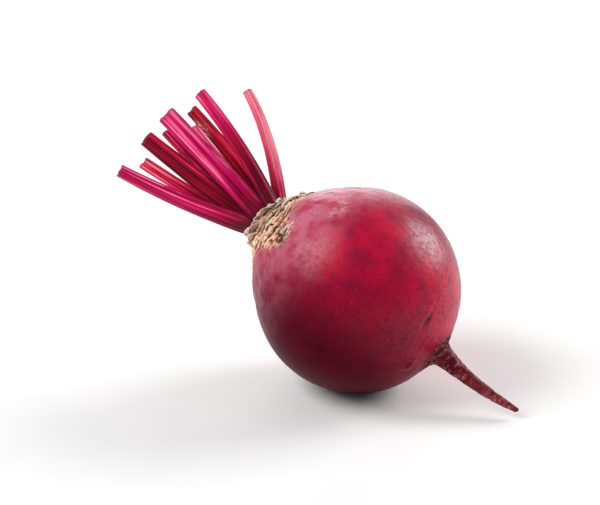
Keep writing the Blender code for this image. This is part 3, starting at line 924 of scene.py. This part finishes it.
def stalk_shape(stalk, seed):
    """A bent, ribbed stalk with a torn cut end. Its number is also the seed of its ribs and bands."""
    shape = bmesh.new()
    layers = {name: shape.verts.layers.float.new(name) for name in STALK_MARKS}
    grain = shape.verts.layers.float_vector.new("grain")
    bmesh.ops.create_cone(
        shape, cap_ends=True, segments=STALK_SIDES, radius1=1, radius2=1, depth=1,
        matrix=Matrix.Translation((0, 0, 0.5)))
    upright = [edge for edge in shape.edges if abs(edge.verts[0].co.z - edge.verts[1].co.z) > 0.5]
    bmesh.ops.subdivide_edges(shape, edges=upright, cuts=STALK_RINGS - 1)
    cut = max(shape.faces, key=lambda face: face.calc_center_median().z)
    for inset in CUT_INSETS:
        bmesh.ops.inset_region(shape, faces=[cut], thickness=inset)
    face = math.radians(stalk["back"])
    facing = Vector((math.cos(face), math.sin(face), 0))
    for vertex in shape.verts:
        x, y, part = vertex.co
        share = min(math.hypot(x, y), 1)
        angle = math.atan2(y, x)
        middle, direction = stalk_path(stalk, part)
        outward = (facing - facing.dot(direction) * direction).normalized()
        sideways = direction.cross(outward)
        out, side, rib = stalk_section(stalk, angle, part, seed)
        sunk = CUT_SINKS * smooth_ramp(share, 0.97, 0.7) if part == 1 else 0
        torn = 0.6 * noise.noise(Vector((2 * x, 2 * y, 3.3 * seed))) if part == 1 else 0
        band = rough((2.2 * math.cos(angle), 2.2 * math.sin(angle) + seed, part), 1.0, 2)
        scar = bump(part, 0.84, 0.07) * bump(math.remainder(angle - SCAR_SIDE, 2 * math.pi), 0, 0.7)
        tone = TONES[seed] + PALE_TIPS[seed] * smooth_ramp(part, 0.5, 1)
        # painted highlight: a narrow band at one angle on each stalk, kept as shine
        shine = bump(math.remainder(angle - LINES[seed] - 0.3 * part, 2 * math.pi), 0, 0.15)
        pith = smooth_ramp(share, 0.96, 0.8) if part == 1 else 0
        marks = (part, rib, band, pith, tone, WARMTHS[seed], scar if seed == SCARRED else 0, shine)
        for name, mark in zip(STALK_MARKS, marks):
            vertex[layers[name]] = mark
        vertex[grain] = (out * share, side * share, (part + 2 * seed) * STALK_LENGTH)
        vertex.co = middle + outward * out * share + sideways * side * share + direction * (torn - sunk)
    return shape


print("each stalk has", STALK_SIDES, "sides and", STALK_RINGS, "rings")

# %% [markdown]
# ## The colour of the stalks
# The stalks run from near-black maroon at the crown to hot pink on their ribs and pale rose at some tips. The
# near-black at the crown is partly their own darker base and partly painted shade where they crowd together,
# and the hot pink on the ribs is partly pinker ridges and partly painted highlight. Colours could be mixed one
# over another, but this is one scale of brightness, so everything that changes it is added up first: the
# stalk's own tone, broad bands, fibres drawn out along it, ribs with painted highlights, the foot, darkened as
# above, the pale tip, and one painted highlight line that winds up each stalk. Two ramps then turn the sum into
# a colour, one towards magenta and one towards red, and each stalk has its own mix. The fibres follow numbers
# kept on the points, so that they bend with the stalk.

# %% The stalks' finish
def stalk_finish():
    """One material for all nine stalks, which differ by the numbers on their points."""
    stalk = Finish("leaf_stalk", Metallic=0.0, Specular_IOR_Level=0.12, Specular_Tint=(1.0, 0.7, 0.9))
    along, own = stalk.attribute("along"), stalk.attribute("tone")
    grain = stalk.node("ShaderNodeAttribute", {"attribute_name": "grain"}, {}, output=1)
    fibres = stalk.noise(0.8, 3, 0.6, (1, 1, 0.03), grain)
    patches = stalk.noise(5, 3, 0.6, (1, 1, 0.25), grain)
    # painted highlight: some ribs are made pinker, partly pinker ridges and partly a painted highlight
    lit_ribs = stalk.attribute("rib").between(0.6, 0.98)
    lit_ribs = lit_ribs * stalk.noise(2.6, 2, 0.5, (1, 1, 0.03), grain).between(0.46, 0.6)
    # the foot is darker, partly the stalks' own darker base and partly painted shade where they crowd together
    foot = 1 - along.between(0.0, 0.6)
    # painted highlight: one line that winds up each stalk is made paler
    highlight_line = stalk.attribute("shine") * stalk.noise(14, 2, 0.5, place=grain).between(0.4, 0.55)
    tone = own + stalk.attribute("band") * 0.35 + (patches - 0.5) * 0.5 + (fibres - 0.5) * 1.1
    tone = tone + lit_ribs * 0.4 - foot * 0.42 + highlight_line * 0.45
    magenta = [
        (0.0, (0.11, 0.0006, 0.015)), (0.2, (0.24, 0.0008, 0.028)), (0.45, (0.56, 0.0015, 0.095)),
        (0.7, (0.80, 0.022, 0.20)), (1.0, (0.92, 0.26, 0.42)),
    ]
    red = [
        (0.0, (0.11, 0.0004, 0.007)), (0.2, (0.27, 0.0006, 0.010)), (0.45, (0.56, 0.002, 0.035)),
        (0.7, (0.78, 0.045, 0.11)), (1.0, (0.90, 0.27, 0.32)),
    ]
    colour = stalk.mixed(
        stalk.attribute("warm") + (patches - 0.5) * 0.8,
        stalk.node("ShaderNodeValToRGB", {"stops": magenta}, {0: tone}),
        stalk.node("ShaderNodeValToRGB", {"stops": red}, {0: tone}))
    # partly own darker base, partly painted shade: the part sunk in the crown is mixed towards dark brown
    sunk_foot = (1 - along.between(0.02, 0.28)) * (1 - highlight_line)
    colour = stalk.mixed(sunk_foot * 0.7, colour, (0.10, 0.018, 0.02))
    dry = stalk.noise(1.2, 4, 0.65, (1, 1, 0.4), grain).between(0.6, 0.7) * (1 - along.between(0.03, 0.3))
    colour = stalk.mixed(dry * 0.6, colour, (0.26, 0.10, 0.07))
    scar = stalk.attribute("scar")
    colour = stalk.mixed(scar * 0.45, colour, (0.48, 0.12, 0.09))
    flecks = stalk.noise(0.9, 3, 0.6, (1, 1, 0.35), grain).between(0.54, 0.62)
    colour = stalk.mixed(flecks * scar.between(0.15, 0.6) * 0.85, colour, (0.74, 0.48, 0.40))
    colour = stalk.mixed(along.between(0.975, 0.995) * 0.55, colour, (0.16, 0.03, 0.035))
    pith = stalk.mixed(stalk.cells(0.5).between(0.1, 0.35), (0.50, 0.08, 0.16), (0.72, 0.34, 0.38))
    colour = stalk.mixed(stalk.attribute("pith"), colour, pith)
    stalk.set("Base Color", colour)
    stalk.set("Roughness", 0.38 + 0.16 * fibres + 0.25 * stalk.attribute("pith"))
    stalk.raise_by(fibres + stalk.attribute("rib") * 0.5, 0.00025)
    return stalk.material


leaf_stalk = stalk_finish()
for number, stalk in enumerate(STALKS):
    name, node = f"cut_stalk_{number + 1}", f"leaf_stalk_{number + 1}"
    finished_piece(stalk_shape(stalk, number), name, leaf_stalk, node)
print("all nine stalks stand in the crown")

# %% [markdown]
# ## Table and light
# A plain pale table and a pale room let the beetroot's own colours show. A sun lamp would give hard edges, so
# three broad soft lamps make the wide dull highlights of its skin: one high on the right and a little behind,
# one high on the left, and one above and behind that lifts the top edge.

# %% The table, the room and the lamps
VIEW_AZIMUTH = math.radians(30)
VIEW_ELEVATION = math.radians(20)
TABLE_REACH = 4
ROOM_LIGHT = 0.24
LAMPS = [
    ("right_lamp", (0.81, 0.53, -0.22), 1.1, 0.6, 12.0),
    ("left_lamp", (-0.72, 0.56, 0.42), 1.1, 0.7, 11.5),
    ("top_lamp", (0.0, 0.62, -0.78), 1.2, 0.85, 5.0),
]
TO_CAMERA = Vector((
    math.sin(VIEW_AZIMUTH) * math.cos(VIEW_ELEVATION), -math.cos(VIEW_AZIMUTH) * math.cos(VIEW_ELEVATION),
    math.sin(VIEW_ELEVATION)))
RIGHT = Vector((math.cos(VIEW_AZIMUTH), math.sin(VIEW_AZIMUTH), 0))
UP = TO_CAMERA.cross(RIGHT)


def pale_table():
    """A wide flat table with a faint mottle, which is not part of the beetroot."""
    top = Finish("pale_table", Metallic=0.0)
    mottle = top.noise(60, 3).between(0.3, 0.7)
    top.set("Base Color", top.mixed(mottle, (0.84, 0.84, 0.84), (0.87, 0.87, 0.87)))
    top.set("Roughness", 0.75 + 0.1 * top.noise(4, 2))
    shape = bmesh.new()
    bmesh.ops.create_grid(shape, x_segments=2, y_segments=2, size=TABLE_REACH)
    mesh = bpy.data.meshes.new("table")
    shape.to_mesh(mesh)
    shape.free()
    mesh.materials.append(top.material)
    table = bpy.data.objects.new("table", mesh)
    bpy.context.scene.collection.objects.link(table)


def soft_lamp(name, towards, distance, size, power):
    """A square lamp that shines at the beetroot from a direction, given as right, up and to the camera."""
    lamp = bpy.data.lights.new(name, "AREA")
    lamp.size = size
    lamp.energy = power
    item = bpy.data.objects.new(name, lamp)
    direction = (RIGHT * towards[0] + UP * towards[1] + TO_CAMERA * towards[2]).normalized()
    item.location = Vector((0, 0, REST_HEIGHT * MM)) + direction * distance
    item.rotation_euler = direction.to_track_quat("Z", "Y").to_euler()
    bpy.context.scene.collection.objects.link(item)


pale_table()
for lamp in LAMPS:
    soft_lamp(*lamp)
room = bpy.data.worlds.new("pale_room")
room.use_nodes = True
air = room.node_tree.nodes["Background"]
air.inputs["Color"].default_value = (1, 1, 1, 1)
air.inputs["Strength"].default_value = ROOM_LIGHT
bpy.context.scene.world = room
bpy.context.scene.view_settings.view_transform = "Standard"
print(len(LAMPS), "lamps light the table, with", sum(lamp[-1] for lamp in LAMPS), "watts in all")

# %% [markdown]
# ## The camera
# The beetroot is seen from a little above, with its tap root running off to the right. A short lens close by
# would swell its near side, so a long lens stands further off. The picture is 600 pixels wide, and one pixel
# is about 0.39 mm at the globe, which sets how far off the camera is and what it looks at.

# %% The camera
PIXEL = 0.3855 * MM
PICTURE_WIDTH = 600
PICTURE_MIDDLE = (300, 252.5)
GLOBE_PIXEL = (357.0, 289.5)
camera_lens = bpy.data.cameras.new("camera")
camera_lens.lens = 100
camera_lens.sensor_width = 36
camera = bpy.data.objects.new("camera", camera_lens)
aim = Vector((0, 0, REST_HEIGHT * MM))
aim += RIGHT * ((PICTURE_MIDDLE[0] - GLOBE_PIXEL[0]) * PIXEL)
aim += UP * ((GLOBE_PIXEL[1] - PICTURE_MIDDLE[1]) * PIXEL)
camera.location = aim + TO_CAMERA * (PICTURE_WIDTH * PIXEL * camera_lens.lens / camera_lens.sensor_width)
camera.rotation_euler = Matrix((RIGHT, UP, TO_CAMERA)).transposed().to_euler()
bpy.context.scene.collection.objects.link(camera)
bpy.context.scene.camera = camera
print("the camera stands", round((camera.location - aim).length, 3), "m off")

# %% [markdown]
# ## Measuring and handing over
# The pieces may change how the part looks but not how big it is.
